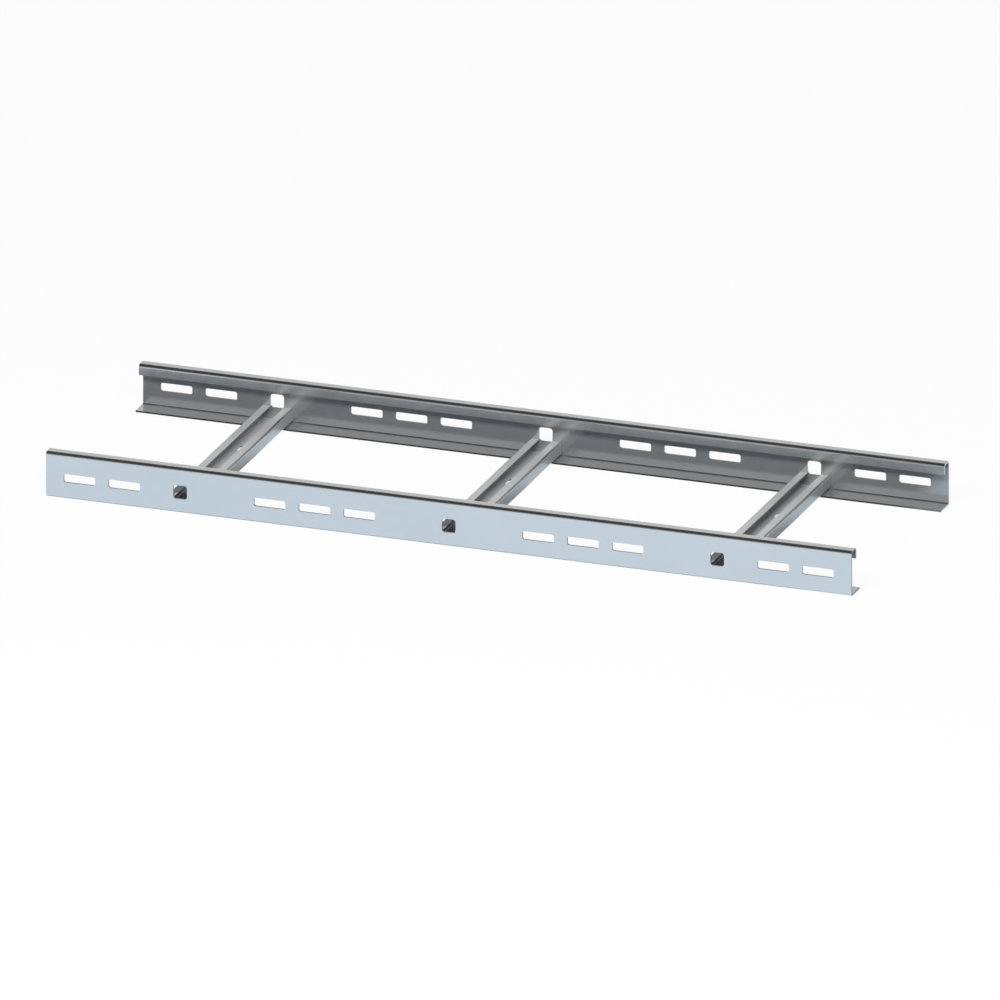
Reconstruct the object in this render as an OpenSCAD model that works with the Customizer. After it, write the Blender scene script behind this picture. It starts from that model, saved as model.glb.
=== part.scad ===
// Section of a steel cable ladder: two roll-formed side rails that face each other,
// and three lipped channel rungs between them with their open sides up.
// The ladder lies on a level floor. X runs along the rails, Y from the front rail
// to the back one, and Z up. The origin is on the floor, at the middle of the ladder.

/* [Ladder] */
// Width over the outer faces of the two rails
ladder_width = 300; // [200:10:600]
// Distance between the centres of neighbouring rungs
rung_pitch = 300; // [250:5:600]
// Distance from each end of the ladder to the centre of the nearest rung
end_distance = 150; // [125:5:300]

/* [Side rails] */
// Height of a rail
rail_height = 50; // [46:1:100]
// Thickness of the rail's sheet
rail_sheet = 2; // [1.5:0.1:3]
// Inside radius of the rail's bends
rail_bend_radius = 1.5; // [1:0.1:3]
// Width of the top flange, over the web and the lip
top_flange = 15; // [12:0.5:25]
// Height of the lip that hangs from the top flange's edge
top_lip = 12; // [8:0.5:14]
// Width of the bottom flange, from the web's outer face
bottom_flange = 25; // [15:0.5:40]

/* [Holes in the rails] */
// Height of the row of holes, from the floor to their centres
hole_row_height = 23; // [20:0.5:30]
// Length of a slot
slot_length = 35; // [20:1:45]
// Width of a slot
slot_width = 9; // [7:0.5:12]
// Radius of a slot's corners
slot_corner_radius = 2; // [0.5:0.1:3]
// Distance between the centres of neighbouring slots
slot_pitch = 50; // [46:1:60]
// Number of slots in each bay between two rungs
slots_per_bay = 3; // [1:1:4]
// Number of slots at each end of a rail, for splice plates
slots_per_end = 2; // [1:1:2]
// Distance from the rail's end to the centre of its first slot
end_slot_inset = 37.5; // [25:0.5:40]
// Side of the square hole above each rung's end
square_hole = 15; // [8:0.5:20]
// Radius of a square hole's corners
square_corner_radius = 3; // [0.5:0.1:4]

/* [Rungs] */
// Width of a rung
rung_width = 35; // [30:0.5:50]
// Height of a rung
rung_height = 15; // [12:0.5:25]
// Width of each lip beside a rung's open slot
rung_lip = 10; // [6:0.5:12]
// Thickness of the rung's sheet
rung_sheet = 1.5; // [1:0.1:2.5]
// Inside radius of the rung's bends
rung_bend_radius = 1; // [0.5:0.1:2.5]
// Distance between the two square holes in a rung's bottom
rung_hole_spacing = 100; // [40:5:120]
// Gap between a rung's lower corners and the bends of the rails
rung_corner_clearance = 0.5; // [0.2:0.1:1]

/* [Hidden] */
rung_count = 3;
ladder_length = (rung_count - 1) * rung_pitch + 2 * end_distance;
punch_over = 1;
$fn = 48;

front_y = -ladder_width / 2;
rail_inner_y = ladder_width / 2 - rail_sheet;
bay_slot_span = (slots_per_bay - 1) * slot_pitch;
rail_colour = [0.75, 0.80, 0.84];
rung_colour = [0.72, 0.73, 0.74];

// Place along the ladder of a rung, counted from 0 at the left
function rung_x(i) = (i - (rung_count - 1) / 2) * rung_pitch;

// Places along the ladder of the slots in the bays between the rungs
bay_slot_x = [
    for (bay = [0 : rung_count - 2], i = [0 : slots_per_bay - 1])
        (rung_x(bay) + rung_x(bay + 1)) / 2 - bay_slot_span / 2 + i * slot_pitch
];

// Places along the ladder of the slots at both ends
end_slot_x = [
    for (side = [-1, 1], i = [0 : slots_per_end - 1])
        side * (ladder_length / 2 - end_slot_inset - i * slot_pitch)
];

// Rectangle with round corners, about its centre
module round_rectangle(length, height, radius) {
    square([length - 2 * radius, height], center = true);
    square([length, height - 2 * radius], center = true);
    for (x = [-1, 1], y = [-1, 1])
        translate([x * (length / 2 - radius), y * (height / 2 - radius)]) circle(radius);
}

// Quarter ring that turns a strip of sheet to its left
module bend(sheet, radius) {
    translate([0, radius + sheet]) intersection() {
        difference() {
            circle(radius + sheet);
            circle(radius);
        }
        translate([0, -radius - sheet]) square(radius + sheet);
    }
}

// Section of folded sheet: flat legs of the given lengths, with a left turn after each
// but the last. The outer face of the first leg lies on the X axis.
module folded_section(flats, sheet, radius) {
    square([flats[0], sheet]);
    if (len(flats) > 1)
        translate([flats[0], 0]) {
            bend(sheet, radius);
            translate([radius + sheet, radius + sheet]) rotate(90)
                folded_section([for (i = [1 : len(flats) - 1]) flats[i]], sheet, radius);
        }
}

// Section of a rail: X runs inwards from the web's outer face, and Y up.
// The sheet runs up the lip, along the top flange, down the web and along the bottom flange.
module rail_section() {
    corner = rail_bend_radius + rail_sheet;
    translate([top_flange, rail_height - top_lip]) rotate(90)
        folded_section(
            [
                top_lip - corner,
                top_flange - 2 * corner,
                rail_height - 2 * corner,
                bottom_flange - corner
            ],
            rail_sheet, rail_bend_radius);
}

// Section of a rung about its middle: X across the rung, and Y up from its bottom face.
// The sheet runs from the end of the left lip round to the end of the right lip.
module rung_section() {
    corner = rung_bend_radius + rung_sheet;
    translate([rung_lip - rung_width / 2, rung_height]) rotate(180)
        folded_section(
            [
                rung_lip - corner,
                rung_height - 2 * corner,
                rung_width - 2 * corner,
                rung_height - 2 * corner,
                rung_lip - corner
            ],
            rung_sheet, rung_bend_radius);
}

// Side view of a rung between the webs, with its lower corners clear of the rails' bends
module rung_side_view() {
    radius = rail_bend_radius + rung_corner_clearance;
    bottom = rail_sheet;
    top = bottom + rung_height + punch_over;
    translate([-rail_inner_y, bottom + radius]) square([2 * rail_inner_y, top - bottom - radius]);
    translate([radius - rail_inner_y, bottom]) square([2 * (rail_inner_y - radius), 2 * radius]);
    for (side = [-1, 1])
        translate([side * (rail_inner_y - radius), bottom + radius]) circle(radius);
}

// Punch for the square holes of the rails and the rungs, along Z about its centre
module square_punch(depth) {
    linear_extrude(depth, center = true)
        round_rectangle(square_hole, square_hole, square_corner_radius);
}

// Punches for all the holes in the front rail's web
module web_punches() {
    depth = rail_sheet + 2 * punch_over;
    translate([0, front_y + rail_sheet / 2, hole_row_height]) rotate([90, 0, 0]) {
        for (x = concat(bay_slot_x, end_slot_x))
            translate([x, 0, 0]) linear_extrude(depth, center = true)
                round_rectangle(slot_length, slot_width, slot_corner_radius);
        for (i = [0 : rung_count - 1])
            translate([rung_x(i), 0, 0]) square_punch(depth);
    }
}

// The front rail: its web is at the front, and its flanges and lip point back
module side_rail_front() {
    color(rail_colour) difference() {
        translate([-ladder_length / 2, front_y, 0]) rotate([90, 0, 90])
            linear_extrude(ladder_length) rail_section();
        web_punches();
    }
}

// The back rail is the front one's mirror image
module side_rail_back() {
    mirror([0, 1, 0]) side_rail_front();
}

// A rung lies on the bottom flanges and reaches from web to web
module rung(x) {
    color(rung_colour) translate([x, 0, 0]) difference() {
        intersection() {
            translate([0, rail_inner_y, rail_sheet]) rotate([90, 0, 0])
                linear_extrude(2 * rail_inner_y) rung_section();
            translate([-rung_width, 0, 0]) rotate([90, 0, 90])
                linear_extrude(2 * rung_width) rung_side_view();
        }
        for (side = [-1, 1])
            translate([0, side * rung_hole_spacing / 2, rail_sheet + rung_sheet / 2])
                square_punch(rung_sheet + 2 * punch_over);
    }
}

module rung_1() {
    rung(rung_x(0));
}

module rung_2() {
    rung(rung_x(1));
}

module rung_3() {
    rung(rung_x(2));
}

side_rail_front();
side_rail_back();
rung_1();
rung_2();
rung_3();
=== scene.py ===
"""Cable ladder section in galvanised steel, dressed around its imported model.

Two side rails and three rungs are rebuilt as folded sheet with true bends and punched holes,
and stand on a pale floor in soft light. All lengths are in metres. X runs along the rails,
Y from the front rail to the back one, and Z up from the floor.
"""

import math

import bpy
import numpy as np
from bpy.props import FloatProperty, FloatVectorProperty, IntProperty, PointerProperty
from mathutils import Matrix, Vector


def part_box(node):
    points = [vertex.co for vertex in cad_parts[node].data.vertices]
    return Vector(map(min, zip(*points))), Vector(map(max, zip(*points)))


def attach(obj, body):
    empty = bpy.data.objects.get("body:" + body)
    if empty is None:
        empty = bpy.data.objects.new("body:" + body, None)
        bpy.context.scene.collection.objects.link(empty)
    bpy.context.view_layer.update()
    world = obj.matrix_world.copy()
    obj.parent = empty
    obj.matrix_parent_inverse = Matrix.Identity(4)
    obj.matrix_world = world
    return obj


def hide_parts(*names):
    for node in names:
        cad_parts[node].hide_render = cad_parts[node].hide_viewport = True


bl_info = {
    "name": "Cable ladder section",
    "version": (1, 0, 0),
    "blender": (4, 5, 0),
    "location": "3D View > Sidebar > Cable ladder",
    "description": "Builds the side rails, the rungs and the stage of a cable ladder section",
    "category": "Add Mesh",
}

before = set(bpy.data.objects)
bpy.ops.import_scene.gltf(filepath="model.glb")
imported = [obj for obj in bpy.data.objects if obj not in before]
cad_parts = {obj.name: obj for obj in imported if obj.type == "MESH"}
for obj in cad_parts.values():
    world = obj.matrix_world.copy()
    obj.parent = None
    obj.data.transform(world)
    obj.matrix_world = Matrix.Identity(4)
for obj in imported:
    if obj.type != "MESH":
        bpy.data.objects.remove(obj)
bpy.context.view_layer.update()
front_low, front_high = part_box("side_rail_front")
back_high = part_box("side_rail_back")[1]
rung_low, rung_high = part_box("rung_2")

MM = 0.001
BODY = "root"
RAILS = ("side_rail_front", "side_rail_back")
RUNGS = ("rung_1", "rung_2", "rung_3")
BEND_SEGMENTS = 8  # of each quarter bend
CORNER_SEGMENTS = 6  # of each corner of a hole
ALONG_SEGMENTS = 2  # of a hole's straight side, along the piece
ACROSS_SEGMENTS = 1  # of a hole's straight side, across the piece
HOLE_MARGIN = 2 * MM  # from a hole to the border of its cell, and twice that along the piece
END_STRIP = 4 * MM  # at a rung's ends, so that only the last quads follow its cut corners
SLACK = MM / 1000  # for finding a station on the grid
EDGE_ANGLE = math.radians(50)  # edges sharper than this are rounded
EDGE_SEGMENTS = 2

# The zinc's pattern: features per metre, and how much each part of it counts in the tone
CLOUDS = {"Scale": 9.0, "Detail": 3.0, "Roughness": 0.55}
LINES = {"Scale": 1.0, "Detail": 4.0}
LINES_ALONG, LINES_ACROSS = 4.0, 900.0
CRYSTAL_WEIGHT, CLOUD_WEIGHT, LINE_WEIGHT, TONE_SHIFT = 0.12, 0.9, 0.5, -0.33
BUMP_STRENGTH, BUMP_HEIGHT = 0.01, 0.05 * MM

# The floor is a matt grey that glows white for the camera, and a sheet of painted reflections lies
# under it
FLOOR_HALF = 12.0
FLOOR_GREY = 0.4, 0.4, 0.4, 1
FLOOR_GLOW, GLOW_SHARE = 1.06, 0.9
PAINTED_SHEET_DEPTH = 40 * MM
RIGHT_BORDER = 0.362, 0.386  # from where to where one tone of the painted sheet runs into the next, round the painted shadow in its middle
LEFT_BORDER = -0.542, -0.518
BACK_BORDER = 0.11, 0.17
FRONT_BORDER = -0.165, -0.105

# The studio is a pattern of directions, and these are the borders between its parts
LEFT_CORNER = -0.1, 0.1  # from the front wall to the back one, in y
RIGHT_CORNER = -0.15, 0.15  # from both to the right wall, in x
WALL_TOP = 0.4, 0.5  # from the walls to the ceiling, in z
STRIP_LEFT = -0.6, -0.48  # from the ceiling to its dark strip, in x
STRIP_RIGHT = -0.14, -0.02
BOX_SIZE = 2.4, 0.7
BOX_PLACE = 0.35, -2.25, 2.1

CAMERA_DISTANCE, CAMERA_REACH = 3.0, 100.0
IMAGE_WIDTH = 1000
IMAGE_SHIFT = 2.44, 0.55  # pixels to the right and up, from the ladder's middle to the view's


# Sizes and finishes

class LadderSizes(bpy.types.PropertyGroup):
    """Sizes of the rails and rungs"""

    rail_sheet: FloatProperty(
        name="Rail sheet", description="Thickness of the rails' sheet",
        default=2 * MM, min=0, unit="LENGTH")
    rail_bend: FloatProperty(
        name="Rail bend", description="Inside radius of the rails' bends",
        default=1.5 * MM, min=0, unit="LENGTH")
    top_flange: FloatProperty(
        name="Top flange", description="Width of a rail's top flange",
        default=15 * MM, min=0, unit="LENGTH")
    top_lip: FloatProperty(
        name="Top lip", description="Height of the lip under the top flange's edge",
        default=12 * MM, min=0, unit="LENGTH")
    hole_height: FloatProperty(
        name="Hole row", description="Height of the rails' row of holes above the floor",
        default=23 * MM, min=0, unit="LENGTH")
    slot_length: FloatProperty(
        name="Slot length", description="Length of a slot in a rail",
        default=35 * MM, min=0, unit="LENGTH")
    slot_width: FloatProperty(
        name="Slot width", description="Width of a slot in a rail",
        default=9 * MM, min=0, unit="LENGTH")
    slot_corner: FloatProperty(
        name="Slot corner", description="Radius of a slot's corners",
        default=2 * MM, min=0, unit="LENGTH")
    slot_pitch: FloatProperty(
        name="Slot pitch", description="Distance between neighbouring slots",
        default=50 * MM, min=0, unit="LENGTH")
    bay_slots: IntProperty(
        name="Bay slots", description="Number of slots between two rungs", default=3, min=1)
    end_slots: IntProperty(
        name="End slots", description="Number of slots at each end of a rail", default=2, min=1)
    end_slot_inset: FloatProperty(
        name="End slot inset", description="Distance from a rail's end to its first slot",
        default=37.5 * MM, min=0, unit="LENGTH")
    square_hole: FloatProperty(
        name="Square hole", description="Side of the square holes in the rails and rungs",
        default=15 * MM, min=0, unit="LENGTH")
    square_corner: FloatProperty(
        name="Square corner", description="Radius of a square hole's corners",
        default=3 * MM, min=0, unit="LENGTH")
    rung_sheet: FloatProperty(
        name="Rung sheet", description="Thickness of the rungs' sheet",
        default=1.5 * MM, min=0, unit="LENGTH")
    rung_bend: FloatProperty(
        name="Rung bend", description="Inside radius of the rungs' bends",
        default=1 * MM, min=0, unit="LENGTH")
    rung_lip: FloatProperty(
        name="Rung lip", description="Width of each lip beside a rung's open slot",
        default=10 * MM, min=0, unit="LENGTH")
    rung_hole_spacing: FloatProperty(
        name="Rung hole spacing", description="Distance between a rung's two holes",
        default=100 * MM, min=0, unit="LENGTH")
    corner_clearance: FloatProperty(
        name="Corner clearance", description="Gap between a rung's corners and a rail's bend",
        default=0.5 * MM, min=0, unit="LENGTH")
    edge_rounding: FloatProperty(
        name="Edge rounding", description="Width of the rounding on cut and punched edges",
        default=0.2 * MM, min=0, unit="LENGTH")


class LadderFinish(bpy.types.PropertyGroup):
    """Colours and gloss of the galvanised sheet"""

    rail_light: FloatVectorProperty(
        name="Rail, light", description="Lighter tone of the rails' zinc",
        default=(0.60, 0.605, 0.61), size=3, min=0, max=1, subtype="COLOR")
    rail_dark: FloatVectorProperty(
        name="Rail, dark", description="Darker tone of the rails' zinc",
        default=(0.545, 0.55, 0.555), size=3, min=0, max=1, subtype="COLOR")
    rung_light: FloatVectorProperty(
        name="Rung, light", description="Lighter tone of the rungs' zinc",
        default=(0.67, 0.675, 0.68), size=3, min=0, max=1, subtype="COLOR")
    rung_dark: FloatVectorProperty(
        name="Rung, dark", description="Darker tone of the rungs' zinc",
        default=(0.62, 0.625, 0.63), size=3, min=0, max=1, subtype="COLOR")
    rail_metallic: FloatProperty(
        name="Rail, metallic", description="Share of the rails' zinc that shines as bare metal",
        default=0.8, min=0, max=1, subtype="FACTOR")
    rung_metallic: FloatProperty(
        name="Rung, metallic", description="Share of the rungs' zinc that shines as bare metal",
        default=0.12, min=0, max=1, subtype="FACTOR")
    rail_roughness: FloatProperty(
        name="Rail, roughness", description="Roughness of the rails' brightest crystals",
        default=0.13, min=0, max=1, subtype="FACTOR")
    rung_roughness: FloatProperty(
        name="Rung, roughness", description="Roughness of the rungs' brightest crystals",
        default=0.3, min=0, max=1, subtype="FACTOR")
    dull_crystals: FloatProperty(
        name="Dull crystals", description="How much rougher the dullest crystals are",
        default=0.07, min=0, max=1, subtype="FACTOR")
    bend_polish: FloatProperty(
        name="Bend polish", description="How much smoother the rolls leave the steel in its bends",
        default=0.6, min=0, max=1, subtype="FACTOR")
    crystal_size: FloatProperty(
        name="Crystal size", description="Size of the zinc's crystals",
        default=6 * MM, min=0.1 * MM, unit="LENGTH")
    cut_shade: FloatProperty(
        name="Cut shade", description="How much darker the steel is where it was cut or punched",
        default=0.35, min=0, max=1, subtype="FACTOR")


class LadderStage(bpy.types.PropertyGroup):
    """Camera, light and floor"""

    azimuth: FloatProperty(
        name="Azimuth", description="Direction of the camera round the ladder",
        default=math.radians(20), subtype="ANGLE")
    elevation: FloatProperty(
        name="Elevation", description="Height of the camera above the horizon",
        default=math.radians(20), subtype="ANGLE")
    view_width: FloatProperty(
        name="View width", description="Width of the camera's view",
        default=1.0498, min=0, unit="LENGTH")
    # Painted reflections: glow on the sheet under the floor that only the steel's reflections see
    painted_reflection_front: FloatVectorProperty(
        name="Front painted reflection", description="What the steel mirrors low in front of the ladder",
        default=(0.91, 1.085, 1.23), size=3, min=0, subtype="COLOR")
    painted_reflection_back: FloatVectorProperty(
        name="Back painted reflection", description="What the steel mirrors low behind the ladder",
        default=(1.15, 1.4, 1.55), size=3, min=0, subtype="COLOR")
    painted_reflection_side: FloatVectorProperty(
        name="Side painted reflection", description="What the steel mirrors low beside the ladder",
        default=(0.43, 0.52, 0.56), size=3, min=0, subtype="COLOR")
    # Painted shadow: the dark middle of that sheet, which stands in for the shade under the ladder
    # in the steel's reflections
    painted_shadow_under_ladder: FloatVectorProperty(
        name="Painted shadow under the ladder", description="What the steel mirrors low between the rails",
        default=(0.09, 0.105, 0.115), size=3, min=0, subtype="COLOR")
    back_wall: FloatProperty(
        name="Back wall", description="Brightness of the studio at the back left",
        default=0.79, min=0)
    front_wall: FloatProperty(
        name="Front wall", description="Brightness of the studio at the front left",
        default=0.46, min=0)
    right_wall: FloatProperty(
        name="Right wall", description="Brightness of the studio on the right",
        default=0.3, min=0)
    ceiling: FloatProperty(
        name="Ceiling", description="Brightness of the studio above its walls",
        default=0.36, min=0)
    dark_strip: FloatProperty(
        name="Dark strip", description="Brightness of the ceiling's strip over the rails",
        default=0.06, min=0)
    backdrop: FloatProperty(
        name="Backdrop", description="Brightness that the camera sees beyond the floor",
        default=0.97, min=0)
    fill_light: FloatProperty(
        name="Fill light", description="Even light that the studio casts on the ladder",
        default=0.04, min=0)
    lamp_power: FloatProperty(
        name="Lamp power", description="Power of the soft box in front",
        default=112, min=0, unit="POWER")


# Shapes

def folded_profile(s, flats, radius, sheet, start, heading):
    """Section of a folded sheet at the developed lengths s of its outer face.

    Leg k runs straight for flats[k], and the heading turns left by a quarter after each leg.
    A point is centre + R u. The centre slides along the leg at R to its left, and stays put in
    the bend. u = sin(a) along - cos(a) left, and a grows from 0 to a quarter turn in the bend.
    R is the bend's outer radius for the outer face, and the inner radius for the inner one.
    Returns both faces' points and sin(2a), which is 0 on a flat and 1 in the middle of a bend.
    """
    outer = radius + sheet
    turn = heading + np.arange(len(flats)) * np.pi / 2
    along = np.stack([np.cos(turn), np.sin(turn)], -1)
    left = np.stack([-np.sin(turn), np.cos(turn)], -1)
    steps = along * (flats + outer)[:, None] + left * outer
    corner = np.asarray(start) + np.concatenate([np.zeros((1, 2)), np.cumsum(steps[:-1], 0)])
    first = np.concatenate([[0], np.cumsum(flats[:-1] + outer * np.pi / 2)])
    leg = np.clip(np.searchsorted(first, s, side="right") - 1, 0, len(flats) - 1)
    straight = np.minimum(s - first[leg], flats[leg])
    angle = ((s - first[leg] - straight) / outer)[..., None]
    centre = corner[leg] + along[leg] * straight[..., None] + left[leg] * outer
    unit = np.sin(angle) * along[leg] - np.cos(angle) * left[leg]
    return centre + unit * outer, centre + unit * radius, np.sin(2 * angle[..., 0])


def profile_stations(flats, outer):
    """Developed lengths at the ends of every flat and at even steps round every bend."""
    bend = np.linspace(0, outer * np.pi / 2, BEND_SEGMENTS + 1)
    first = np.concatenate([[0], np.cumsum(flats[:-1] + outer * np.pi / 2)])
    bends = (first[:-1] + flats[:-1])[:, None] + bend
    return np.concatenate([[0], bends.ravel(), [first[-1] + flats[-1]]])


def cell_stations(centres, half, segments):
    """Even stations across every cell: centre + half t, with t from -1 to 1."""
    return (np.asarray(centres)[:, None]
            + np.asarray(half)[:, None] * np.linspace(-1, 1, segments + 1)).ravel()


def merged(*stations):
    """All stations in order, with those that lie within a micrometre of each other as one."""
    return np.unique(np.round(np.concatenate(stations), 6))


def hole_outline(half_s, half_t, corner):
    """Rounded rectangles, point for point with the border of the cell round each.

    A point is c + r (cos w, sin w). The corner centre c slides along a straight side while w
    is held, and w turns by a quarter round each corner while c is held. Each of the loop's
    four sides begins and ends in the middle of a corner. Returns arrays of holes by points.
    """
    parts = []
    for side in range(4):
        straight = ACROSS_SEGMENTS if side % 2 == 0 else ALONG_SEGMENTS
        half_corner = CORNER_SEGMENTS / 2
        knots = [0, half_corner, half_corner + straight, CORNER_SEGMENTS + straight]
        steps = np.arange(CORNER_SEGMENTS + straight)
        turn = np.pi / 2 * (side - 1) + np.interp(steps, knots, [-np.pi / 4, 0, 0, np.pi / 4])
        slide = np.interp(steps, knots, [-1, -1, 1, 1])
        lean = np.ones(len(steps))
        parts.append([(slide, -lean), (lean, slide), (-slide, lean), (-lean, -slide)][side]
                     + (turn,))
    centre_s, centre_t, turn = (np.concatenate(p) for p in zip(*parts))
    half_s, half_t, corner = (np.asarray(v)[:, None] for v in (half_s, half_t, corner))
    return ((half_s - corner) * centre_s + corner * np.cos(turn),
            (half_t - corner) * centre_t + corner * np.sin(turn))


def quads(index):
    """Quads of a grid of vertex numbers, one to each square of neighbours."""
    return np.stack([index[:-1, :-1], index[1:, :-1], index[1:, 1:], index[:-1, 1:]], -1)


def strip(one, other):
    """Quads between two rows of vertex numbers of the same length."""
    return quads(np.stack([one, other]))[0]


def folded_sheet(name, profile, place, rows, columns, holes, row_cell):
    """Closed sheet, carried along a straight path, with round-cornered holes through one flat.

    The outer and inner faces are profile(s) carried to each station t, over a grid of rows s
    and columns t. The grid leaves out a cell round each hole, and a ring of quads joins the
    cell's border to the hole's outline. Strips through the thickness close the sheet at its
    four borders and round the holes. place(section, t) turns a section's point into space.
    holes holds, with one value to a hole, half its size in s and in t, the radius of its
    corners, its centre in s and in t, and half its cell's size in t. row_cell holds the first
    and last row of all the cells.
    """
    # Every point of the grid and of the holes' outlines, on both faces
    half_s, half_t, corner, centre_s, centre_t, cell_t = (np.asarray(v, float) for v in holes)
    ring_s, ring_t = hole_outline(half_s, half_t, corner)
    ring_s, ring_t = ring_s + centre_s[:, None], ring_t + centre_t[:, None]
    grid_s, grid_t = np.meshgrid(rows, columns, indexing="ij")
    s = np.concatenate([grid_s.ravel(), ring_s.ravel()])
    t = np.concatenate([grid_t.ravel(), ring_t.ravel()])
    outer, inner, fold = profile(s)
    points = np.concatenate([place(outer, t), place(inner, t)])

    # The cells that the grid leaves out, and the border of each, point for point with its hole.
    # Point k of the outer face has its partner on the inner face at k + count.
    count = len(s)
    grid = np.arange(grid_s.size).reshape(grid_s.shape)
    ring = grid_s.size + np.arange(ring_s.size).reshape(ring_s.shape)
    row = np.searchsorted(rows, np.asarray(row_cell) - SLACK)
    low = np.searchsorted(columns, centre_t - cell_t - SLACK)
    high = np.searchsorted(columns, centre_t + cell_t - SLACK)
    column = np.arange(len(columns) - 1)
    in_cell = ((column >= low[:, None]) & (column < high[:, None])).any(0)
    keep = np.ones((len(rows) - 1, len(columns) - 1), bool)
    keep[row[0]:row[1]] = ~in_cell
    tall, wide = row[1] - row[0], ALONG_SEGMENTS + CORNER_SEGMENTS
    up, across = np.arange(tall), np.arange(wide)
    down_s = np.concatenate([up, np.full(wide, tall), tall - up, np.zeros(wide, int)])
    down_t = np.concatenate([0 * up, across, np.full(tall, wide), wide - across])
    border = grid[row[0] + down_s, low[:, None] + down_t]

    # Both faces, and the strips between them. A loop ends on its first point again.
    border = np.concatenate([border, border[:, :1]], 1)
    ring = np.concatenate([ring, ring[:, :1]], 1)
    collars = np.stack([border[:, :-1], border[:, 1:], ring[:, 1:], ring[:, :-1]], -1)
    skin = np.concatenate([quads(grid)[keep], collars.reshape(-1, 4)])
    linings = np.stack(
        [ring[:, :-1], ring[:, 1:], ring[:, 1:] + count, ring[:, :-1] + count], -1)
    walls = [
        strip(grid[0] + count, grid[0]),
        strip(grid[-1], grid[-1] + count),
        strip(grid[:, 0], grid[:, 0] + count),
        strip(grid[:, -1] + count, grid[:, -1]),
        linings.reshape(-1, 4),
    ]
    faces = np.concatenate([skin, skin[:, ::-1] + count, *walls])
    cut = np.arange(len(faces)) >= 2 * len(skin)

    # Faces that point inwards give a negative volume, and are turned round
    a, b, c, d = (points[faces[:, k]] for k in range(4))
    volume = (np.einsum("ij,ij->i", a, np.cross(b, c))
              + np.einsum("ij,ij->i", a, np.cross(c, d))).sum()
    if volume < 0:
        faces = faces[:, ::-1]

    # The points inside the cells belong to no face, and are dropped
    used, number = np.unique(faces, return_inverse=True)
    faces = number.reshape(faces.shape)
    return make_piece(name, points[used], faces, np.concatenate([fold, fold])[used], cut)


def make_piece(name, points, faces, fold, cut):
    """A mesh object of quads that keeps the fold on every vertex and the cut on every face."""
    mesh = bpy.data.meshes.new(name)
    mesh.vertices.add(len(points))
    mesh.vertices.foreach_set("co", points.astype(np.float32).ravel())
    mesh.loops.add(faces.size)
    mesh.loops.foreach_set("vertex_index", faces.astype(np.int32).ravel())
    mesh.polygons.add(len(faces))
    mesh.polygons.foreach_set("loop_start", np.arange(0, faces.size, 4, dtype=np.int32))
    mesh.polygons.foreach_set("use_smooth", np.ones(len(faces), bool))
    for label, domain, value in (("fold", "POINT", fold), ("cut", "FACE", cut)):
        attribute = mesh.attributes.new(label, "FLOAT", domain)
        attribute.data.foreach_set("value", value.astype(np.float32))
    mesh.update(calc_edges=True)
    if mesh.validate(verbose=True):
        raise RuntimeError(f"the mesh of {name} had faults")
    piece = bpy.data.objects.new(name, mesh)
    bpy.context.scene.collection.objects.link(piece)
    return piece


def finish_piece(piece, node_name, material, rounding):
    """Rounds the cut edges, gives the finish, and sets the piece in the frame."""
    bevel = piece.modifiers.new("Cut edges", "BEVEL")
    bevel.width = rounding
    bevel.segments = EDGE_SEGMENTS
    bevel.limit_method = "ANGLE"
    bevel.angle_limit = EDGE_ANGLE
    normals = piece.modifiers.new("Flat faces", "WEIGHTED_NORMAL")
    normals.keep_sharp = True
    piece.data.materials.append(material)
    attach(piece, BODY)
    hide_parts(node_name)


# Materials

def add_node(tree, kind, settings=None, inputs=None):
    """A new node with these settings. An input is a value, or another node's output."""
    node = tree.nodes.new(kind)
    for name, value in (settings or {}).items():
        setattr(node, name, value)
    for name, value in (inputs or {}).items():
        if isinstance(value, bpy.types.NodeSocket):
            tree.links.new(value, node.inputs[name])
        else:
            node.inputs[name].default_value = value
    return node


def weighted(tree, value, weight, offset):
    """Output that is value times weight, plus the offset."""
    return add_node(tree, "ShaderNodeMath", {"operation": "MULTIPLY_ADD"},
                    {0: value, 1: weight, 2: offset}).outputs[0]


def mixed(tree, factor, first, last, blend="MIX"):
    """Colour output that goes from first to its blend with last as the factor goes to 1.

    The node's sockets 6 and 7 are its two colours, and its output 2 is their blend.
    """
    return add_node(tree, "ShaderNodeMix", {"data_type": "RGBA", "blend_type": blend},
                    {0: factor, 6: first, 7: last}).outputs[2]


def faded(tree, value, border, first, last):
    """Output that is first below the border, last above it, and runs smoothly across it."""
    return add_node(tree, "ShaderNodeMapRange", {"interpolation_type": "SMOOTHSTEP"}, {
        "Value": value, "From Min": border[0], "From Max": border[1],
        "To Min": first, "To Max": last}).outputs[0]


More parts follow.
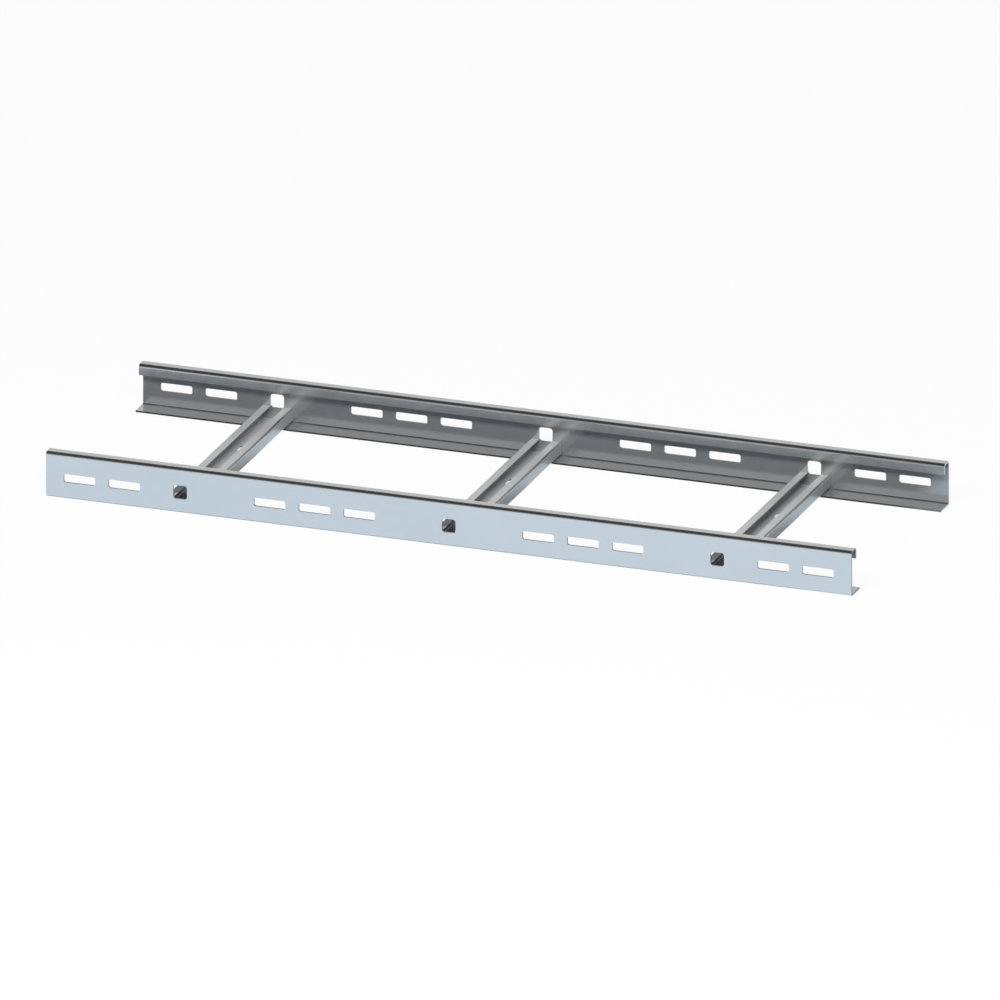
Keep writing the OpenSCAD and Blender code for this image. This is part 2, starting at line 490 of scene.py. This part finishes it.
def galvanised_steel(name, light, dark, metallic, roughness, grain, finish):
    """Zinc with faint crystals, cloudy tones and fine lines along the rolls.

    The bends are burnished by the rolls to smooth bare metal, and the cut and punched edges
    are bare metal whose colour is also darkened, partly as painted shade.
    """
    material = bpy.data.materials.new(name)
    material.use_nodes = True
    tree = material.node_tree
    shader = tree.nodes["Principled BSDF"]
    place = add_node(tree, "ShaderNodeTexCoord").outputs["Object"]
    crystals = add_node(tree, "ShaderNodeTexVoronoi", {"feature": "F1"},
                        {"Vector": place, "Scale": 1 / finish.crystal_size})
    crystal = add_node(tree, "ShaderNodeSeparateColor", None,
                       {"Color": crystals.outputs["Color"]}).outputs["Red"]
    clouds = add_node(tree, "ShaderNodeTexNoise", None,
                      {"Vector": place, **CLOUDS}).outputs["Fac"]
    lines_place = add_node(tree, "ShaderNodeMapping", {"vector_type": "POINT"},
                           {"Vector": place, "Scale": grain}).outputs["Vector"]
    lines = add_node(tree, "ShaderNodeTexNoise", None,
                     {"Vector": lines_place, **LINES}).outputs["Fac"]
    fold, cut = (add_node(tree, "ShaderNodeAttribute", {"attribute_name": name}).outputs["Fac"]
                 for name in ("fold", "cut"))

    tone = weighted(tree, crystal, CRYSTAL_WEIGHT, TONE_SHIFT)
    tone = weighted(tree, clouds, CLOUD_WEIGHT, tone)
    tone = weighted(tree, lines, LINE_WEIGHT, tone)
    colour = mixed(tree, tone, (*dark, 1), (*light, 1))
    # Cut and punched faces are darkened: bare steel, and partly a painted shade
    shade = weighted(tree, cut, finish.cut_shade, 0.0)
    colour = mixed(tree, shade, colour, (0, 0, 0, 1), "MULTIPLY")
    tree.links.new(colour, shader.inputs["Base Color"])

    dull = finish.dull_crystals / 2  # half of it from the crystals, and half from the lines
    rough = weighted(tree, crystal, dull, roughness)
    rough = weighted(tree, lines, dull, rough)
    rough = weighted(tree, fold, -finish.bend_polish * roughness, rough)
    tree.links.new(rough, shader.inputs["Roughness"])
    bump = add_node(tree, "ShaderNodeBump", None,
                    {"Height": lines, "Strength": BUMP_STRENGTH, "Distance": BUMP_HEIGHT})
    tree.links.new(bump.outputs["Normal"], shader.inputs["Normal"])
    bare = add_node(tree, "ShaderNodeMath", {"operation": "MAXIMUM"}, {0: fold, 1: cut}).outputs[0]
    metal = weighted(tree, bare, 1 - metallic, metallic)
    tree.links.new(metal, shader.inputs["Metallic"])
    return material


# Pieces

class CABLE_LADDER_OT_side_rails(bpy.types.Operator):
    """Builds the front rail and the back one, its mirror image"""

    bl_idname = "cable_ladder.side_rails"
    bl_label = "Side rails"

    def execute(self, context):
        sizes, finish = context.scene.ladder_sizes, context.scene.ladder_finish
        outer = sizes.rail_bend + sizes.rail_sheet
        height, bottom_flange = front_high.z - front_low.z, front_high.y - front_low.y
        flats = np.array([
            sizes.top_lip - outer,
            sizes.top_flange - 2 * outer,
            height - 2 * outer,
            bottom_flange - outer,
        ])
        web_start = (flats[:2] + outer * np.pi / 2).sum()
        hole_s = web_start + height - outer - sizes.hole_height
        row_half = sizes.square_hole / 2 + HOLE_MARGIN
        rungs = [(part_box(name)[0].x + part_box(name)[1].x) / 2 for name in RUNGS]
        bays = [(a + b) / 2 for a, b in zip(rungs, rungs[1:])]
        bay_steps = (np.arange(sizes.bay_slots) - (sizes.bay_slots - 1) / 2) * sizes.slot_pitch
        end_steps = sizes.end_slot_inset + np.arange(sizes.end_slots) * sizes.slot_pitch
        slots = np.sort(np.concatenate([
            np.add.outer(bays, bay_steps).ravel(),
            front_low.x + end_steps,
            front_high.x - end_steps,
        ]))
        holes = np.concatenate([slots, rungs])
        is_slot = np.arange(len(holes)) < len(slots)
        half_t = np.where(is_slot, sizes.slot_length, sizes.square_hole) / 2
        half_s = np.where(is_slot, sizes.slot_width, sizes.square_hole) / 2
        corner = np.where(is_slot, sizes.slot_corner, sizes.square_corner)
        cell_t = half_t + 2 * HOLE_MARGIN
        rows = merged(profile_stations(flats, outer),
                      cell_stations([hole_s], [row_half], CORNER_SEGMENTS + ACROSS_SEGMENTS))
        columns = merged([front_low.x, front_high.x],
                         cell_stations(holes, cell_t, CORNER_SEGMENTS + ALONG_SEGMENTS))
        start = (sizes.top_flange, height - sizes.top_lip)

        def profile(s):
            return folded_profile(s, flats, sizes.rail_bend, sizes.rail_sheet, start, np.pi / 2)

        material = galvanised_steel("Galvanised rail", finish.rail_light, finish.rail_dark,
                                    finish.rail_metallic, finish.rail_roughness,
                                    (LINES_ALONG, LINES_ACROSS, LINES_ACROSS), finish)
        for name, edge, inwards in zip(RAILS, (front_low.y, back_high.y), (1, -1)):
            piece = folded_sheet(
                name.replace("side_rail", "rail_sheet"), profile,
                lambda uv, t: np.stack([t, edge + inwards * uv[:, 0], front_low.z + uv[:, 1]], 1),
                rows, columns,
                (half_s, half_t, corner, np.full(len(holes), hole_s), holes, cell_t),
                (hole_s - row_half, hole_s + row_half))
            finish_piece(piece, name, material, sizes.edge_rounding)
        return {"FINISHED"}


class CABLE_LADDER_OT_rungs(bpy.types.Operator):
    """Builds the three rungs, lipped channels with two square holes in their bottoms"""

    bl_idname = "cable_ladder.rungs"
    bl_label = "Rungs"

    def execute(self, context):
        sizes, finish = context.scene.ladder_sizes, context.scene.ladder_finish
        outer = sizes.rung_bend + sizes.rung_sheet
        width, height = rung_high.x - rung_low.x, rung_high.z - rung_low.z
        flats = np.array([
            sizes.rung_lip - outer,
            height - 2 * outer,
            width - 2 * outer,
            height - 2 * outer,
            sizes.rung_lip - outer,
        ])
        bottom_start = (flats[:2] + outer * np.pi / 2).sum()
        hole_s = bottom_start + width / 2 - outer
        half = sizes.square_hole / 2
        row_half, cell_t = half + HOLE_MARGIN, half + 2 * HOLE_MARGIN
        middle = (rung_low.y + rung_high.y) / 2
        holes = middle + np.array([-0.5, 0.5]) * sizes.rung_hole_spacing
        rows = merged(profile_stations(flats, outer),
                      cell_stations([hole_s], [row_half], CORNER_SEGMENTS + ACROSS_SEGMENTS))
        ends = [rung_low.y, rung_low.y + END_STRIP, rung_high.y - END_STRIP, rung_high.y]
        columns = merged(ends, cell_stations(holes, [cell_t] * 2,
                                             CORNER_SEGMENTS + ALONG_SEGMENTS))
        start = (sizes.rung_lip - width / 2, height)
        clear = sizes.rail_bend + sizes.corner_clearance

        def profile(s):
            return folded_profile(s, flats, sizes.rung_bend, sizes.rung_sheet, start, np.pi)

        def reach(v):
            """Half length at the height v, where a quarter circle takes off the lower corner."""
            drop = np.clip(clear - v, 0, clear)
            return (rung_high.y - rung_low.y) / 2 - clear + np.sqrt(clear ** 2 - drop ** 2)

        material = galvanised_steel("Galvanised rung", finish.rung_light, finish.rung_dark,
                                    finish.rung_metallic, finish.rung_roughness,
                                    (LINES_ACROSS, LINES_ALONG, LINES_ACROSS), finish)
        for name in RUNGS:
            low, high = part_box(name)
            centre = (low.x + high.x) / 2
            piece = folded_sheet(
                name.replace("rung", "rung_sheet"), profile,
                lambda uv, t: np.stack([
                    centre + uv[:, 0],
                    middle + np.clip(t - middle, -reach(uv[:, 1]), reach(uv[:, 1])),
                    low.z + uv[:, 1]], 1),
                rows, columns,
                ([half] * 2, [half] * 2, [sizes.square_corner] * 2, [hole_s] * 2, holes,
                 [cell_t] * 2),
                (hole_s - row_half, hole_s + row_half))
            finish_piece(piece, name, material, sizes.edge_rounding)
        return {"FINISHED"}


# Stage

def floor_plane(name, height, material):
    """A wide flat square at the given height. It is part of the stage, not of the ladder."""
    mesh = bpy.data.meshes.new(name)
    corners = np.array([(-1, -1), (1, -1), (1, 1), (-1, 1)]) * FLOOR_HALF
    mesh.from_pydata([(x, y, height) for x, y in corners], [], [(0, 1, 2, 3)])
    mesh.materials.append(material)
    plane = bpy.data.objects.new(name, mesh)
    bpy.context.scene.collection.objects.link(plane)
    return plane


class CABLE_LADDER_OT_stage(bpy.types.Operator):
    """Builds the floor, the studio light and the camera"""

    bl_idname = "cable_ladder.stage"
    bl_label = "Stage"

    def execute(self, context):
        stage = context.scene.ladder_stage
        self.floor(stage)
        self.light(context, stage)
        self.camera(context, stage)
        context.scene.view_settings.view_transform = "Standard"
        return {"FINISHED"}

    def floor(self, stage):
        """A pale floor that keeps the ladder's shadow, and a glowing sheet of painted reflections
        under it.

        Glossy rays pass through the floor to the sheet, which nothing else sees. Its dark middle
        is a painted shadow of the ladder, and brighter painted reflections fade in past its
        borders on the right, on the left, behind and in front.
        """
        material = bpy.data.materials.new("Pale floor")
        material.use_nodes = True
        tree = material.node_tree
        tree.nodes.clear()
        path = add_node(tree, "ShaderNodeLightPath")
        share = weighted(tree, path.outputs["Is Camera Ray"], GLOW_SHARE, 0.0)
        matt = add_node(tree, "ShaderNodeBsdfDiffuse", None, {"Color": FLOOR_GREY})
        white = add_node(tree, "ShaderNodeEmission", None, {"Strength": FLOOR_GLOW})
        mix = add_node(tree, "ShaderNodeMixShader", None,
                       {0: share, 1: matt.outputs[0], 2: white.outputs[0]})
        add_node(tree, "ShaderNodeOutputMaterial", None, {"Surface": mix.outputs[0]})
        plane = floor_plane("floor", 0.0, material)
        plane.visible_glossy = False

        # A glowing sheet under the floor that only glossy rays see: painted reflections, with a
        # painted shadow of the ladder in its middle
        painted_sheet = bpy.data.materials.new("Painted reflections and shadow under the floor")
        painted_sheet.use_nodes = True
        tree = painted_sheet.node_tree
        tree.nodes.clear()
        spot = add_node(tree, "ShaderNodeSeparateXYZ", None, {
            "Vector": add_node(tree, "ShaderNodeTexCoord").outputs["Object"]})
        # The middle of the sheet is the painted shadow, and painted reflections fade in past its
        # borders
        tone = (*stage.painted_shadow_under_ladder, 1)
        for axis, border, inner, outer, colour in (
                ("X", RIGHT_BORDER, 0, 1, stage.painted_reflection_side),
                ("X", LEFT_BORDER, 1, 0, stage.painted_reflection_side),
                ("Y", BACK_BORDER, 0, 1, stage.painted_reflection_back),
                ("Y", FRONT_BORDER, 1, 0, stage.painted_reflection_front)):
            past = faded(tree, spot.outputs[axis], border, inner, outer)
            tone = mixed(tree, past, tone, (*colour, 1))
        glow = add_node(tree, "ShaderNodeEmission", None, {"Color": tone})
        add_node(tree, "ShaderNodeOutputMaterial", None, {"Surface": glow.outputs[0]})
        plane = floor_plane("painted_sheet", -PAINTED_SHEET_DEPTH, painted_sheet)
        plane.visible_camera = False
        plane.visible_diffuse = False
        plane.visible_shadow = False

    def light(self, context, stage):
        """A studio that the steel mirrors, an even fill, a white backdrop and a soft box.

        The studio's brightness follows the direction x, y, z in which a ray leaves: walls
        all round, and over them a ceiling with a dark strip across it.
        """
        world = bpy.data.worlds.new("Studio")
        context.scene.world = world
        world.use_nodes = True
        tree = world.node_tree
        away = add_node(tree, "ShaderNodeSeparateXYZ", None, {
            "Vector": add_node(tree, "ShaderNodeTexCoord").outputs["Generated"]})
        x, y, z = (away.outputs[axis] for axis in "XYZ")
        left = faded(tree, y, LEFT_CORNER, stage.front_wall, stage.back_wall)
        walls = faded(tree, x, RIGHT_CORNER, left, stage.right_wall)
        ceiling = faded(tree, x, STRIP_LEFT, stage.ceiling, stage.dark_strip)
        ceiling = faded(tree, x, STRIP_RIGHT, ceiling, stage.ceiling)
        mirrored = faded(tree, z, WALL_TOP, walls, ceiling)
        # A ray is of a kind, 1, or isn't, 0, so each line here picks one of two levels
        path = add_node(tree, "ShaderNodeLightPath")
        level = faded(tree, path.outputs["Is Diffuse Ray"], (0, 1), mirrored, stage.fill_light)
        level = faded(tree, path.outputs["Is Camera Ray"], (0, 1), level, stage.backdrop)
        tree.links.new(level, tree.nodes["Background"].inputs["Strength"])
        tree.nodes["Background"].inputs["Color"].default_value = (1, 1, 1, 1)

        lamp = bpy.data.lights.new("Soft box", "AREA")
        lamp.shape = "RECTANGLE"
        lamp.size, lamp.size_y = BOX_SIZE
        lamp.energy = stage.lamp_power
        box = bpy.data.objects.new("Soft box", lamp)
        box.location = BOX_PLACE
        box.rotation_euler = (-box.location).to_track_quat("-Z", "Y").to_euler()
        box.visible_glossy = False
        context.scene.collection.objects.link(box)

    def camera(self, context, stage):
        """An orthographic camera that looks down at the ladder from its front, to the right."""
        lens = bpy.data.cameras.new("Camera")
        lens.type = "ORTHO"
        lens.ortho_scale = stage.view_width
        lens.clip_end = CAMERA_REACH
        camera = bpy.data.objects.new("Camera", lens)
        azimuth, elevation = stage.azimuth, stage.elevation
        back = Vector((math.sin(azimuth) * math.cos(elevation),
                       -math.cos(azimuth) * math.cos(elevation), math.sin(elevation)))
        right = Vector((math.cos(azimuth), math.sin(azimuth), 0))
        up = right.cross(-back)
        pixel = stage.view_width / IMAGE_WIDTH
        shift = right * (IMAGE_SHIFT[0] * pixel) + up * (IMAGE_SHIFT[1] * pixel)
        camera.location = shift + back * CAMERA_DISTANCE
        camera.rotation_euler = (-back).to_track_quat("-Z", "Y").to_euler()
        context.scene.collection.objects.link(camera)
        context.scene.camera = camera


class CABLE_LADDER_PT_pieces(bpy.types.Panel):
    """Lists the ladder's pieces, sizes and finish"""

    bl_idname = "CABLE_LADDER_PT_pieces"
    bl_label = "Cable ladder"
    bl_space_type = "VIEW_3D"
    bl_region_type = "UI"
    bl_category = "Cable ladder"

    def draw(self, context):
        layout = self.layout
        for operator in (CABLE_LADDER_OT_side_rails, CABLE_LADDER_OT_rungs,
                         CABLE_LADDER_OT_stage):
            layout.operator(operator.bl_idname)
        for group in (context.scene.ladder_sizes, context.scene.ladder_finish,
                      context.scene.ladder_stage):
            column = layout.column(align=True)
            for name in group.__annotations__:
                column.prop(group, name)


CLASSES = (
    LadderSizes,
    LadderFinish,
    LadderStage,
    CABLE_LADDER_OT_side_rails,
    CABLE_LADDER_OT_rungs,
    CABLE_LADDER_OT_stage,
    CABLE_LADDER_PT_pieces,
)


def register():
    """Adds the classes, and the ladder's settings to every scene."""
    for cls in CLASSES:
        bpy.utils.register_class(cls)
    bpy.types.Scene.ladder_sizes = PointerProperty(type=LadderSizes)
    bpy.types.Scene.ladder_finish = PointerProperty(type=LadderFinish)
    bpy.types.Scene.ladder_stage = PointerProperty(type=LadderStage)


def unregister():
    """Takes the settings and the classes away again."""
    del bpy.types.Scene.ladder_stage
    del bpy.types.Scene.ladder_finish
    del bpy.types.Scene.ladder_sizes
    for cls in reversed(CLASSES):
        bpy.utils.unregister_class(cls)


def main():
    register()
    bpy.ops.cable_ladder.side_rails()
    bpy.ops.cable_ladder.rungs()
    bpy.ops.cable_ladder.stage()


if __name__ == "__main__":
    main()
